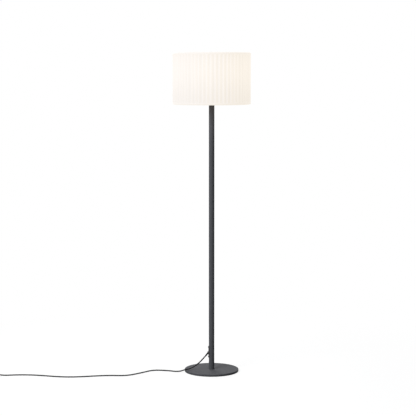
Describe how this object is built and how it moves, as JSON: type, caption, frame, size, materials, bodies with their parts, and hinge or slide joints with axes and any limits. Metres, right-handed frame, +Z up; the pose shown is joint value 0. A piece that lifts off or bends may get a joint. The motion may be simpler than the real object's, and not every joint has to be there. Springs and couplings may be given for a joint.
{
  "type": "floor lamp",
  "caption": "Slim floor lamp: a pleated drum shade lit from inside, on a straight round post and a flat disc base, with a mains cord.",
  "frame": {"origin": "middle of the base's underside, on the floor", "axes": "+Z up along the post; the mains cord leaves the post towards -X, and the picture looks along +Y"},
  "size_m": [1.3868, 0.365, 1.5],
  "materials": {
    "graphite_powder_coat": "fine satin powder coat",
    "felt_pad": "dense black felt",
    "zinc_steel": "zinc plated",
    "black_plastic": "fine spark texture",
    "black_screws": "black",
    "cord_sheath": "smooth satin sheath",
    "holder_plastic": "smooth white moulding",
    "ceramic_insert": "unglazed white",
    "contact_brass": "satin",
    "lead_insulation": "smooth",
    "bulb_cap_metal": "satin",
    "cap_glass": "glossy black",
    "opal_glass": "opal white, lit from inside",
    "white_wire": "white enamel",
    "liner_film": "translucent white film",
    "pleated_paper": "pleated warm white",
    "trim_paper": "folded band, warm white",
    "rubber_feet": "matte",
    "switch_block": "smooth",
    "switch_button_plastic": "satin",
    "spring_wire": "bright",
    "tie_strap": "black strap",
    "plug_plastic": "moulded, satin"
  },
  "bodies": {
    "root": {"base_plate": "graphite_powder_coat", "base_pad": "felt_pad", "base_washer": "zinc_steel", "base_bolt": "zinc_steel", "foot_plug": "zinc_steel", "post_tube": "graphite_powder_coat", "top_plug": "graphite_powder_coat", "threaded_nipple": "zinc_steel", "lock_nut": "zinc_steel", "cord_cover": "black_plastic", "cord_cover_screws": "black_screws", "cord_gland": "cord_sheath", "inner_cable": "cord_sheath", "holder_cap": "holder_plastic", "holder_skirt": "holder_plastic", "holder_insert": "ceramic_insert", "terminal_posts": "contact_brass", "centre_contact": "contact_brass", "holder_leads": "lead_insulation", "cord_floor_run": "cord_sheath", "switch_base": "black_plastic", "switch_cover": "black_plastic", "switch_feet": "rubber_feet", "switch_cord_grips": "cord_sheath", "switch_mechanism": "switch_block", "switch_spring": "spring_wire", "switch_screws": "zinc_steel", "cord_link": "cord_sheath", "cord_coil": "cord_sheath", "cord_tie": "tie_strap", "cord_tail": "cord_sheath", "plug_relief": "cord_sheath", "plug_body": "plug_plastic", "plug_pins": "contact_brass", "plug_pin_sleeves": "plug_plastic"},
    "bulb": {"bulb_cap": "bulb_cap_metal", "bulb_insulator": "cap_glass", "bulb_contact": "bulb_cap_metal", "bulb_glass": "opal_glass"},
    "shade": {"shade_fitter": "white_wire", "shade_bottom_hoop": "white_wire", "shade_top_hoop": "white_wire", "shade_spokes": "white_wire", "shade_liner": "liner_film", "pleated_shade": "pleated_paper", "shade_bottom_trim": "trim_paper", "shade_top_trim": "trim_paper"},
    "ring_nut": {"shade_ring_nut": "holder_plastic"},
    "button": {"switch_button": "switch_button_plastic"}
  },
  "joints": [
    {"name": "shade_turn", "type": "hinge", "parent": "root", "child": "shade", "pos_m": [0, 0, 1.293], "axis": [0, 0, 1], "continuous": true},
    {"name": "ring_nut_turn", "type": "hinge", "parent": "root", "child": "ring_nut", "pos_m": [0, 0, 1.295], "axis": [0, 0, 1], "range_deg": [0, 1080]},
    {"name": "bulb_out", "type": "slide", "parent": "root", "child": "bulb", "axis": [0, 0, 1], "range_m": [0, 0.028]},
    {"name": "switch_press", "type": "slide", "parent": "root", "child": "button", "axis": [0, 0, -1], "range_m": [0, 0.0025], "stiffness_N_per_m": 900, "springref_m": -0.002, "deforming": ["switch_spring"]}
  ]
}
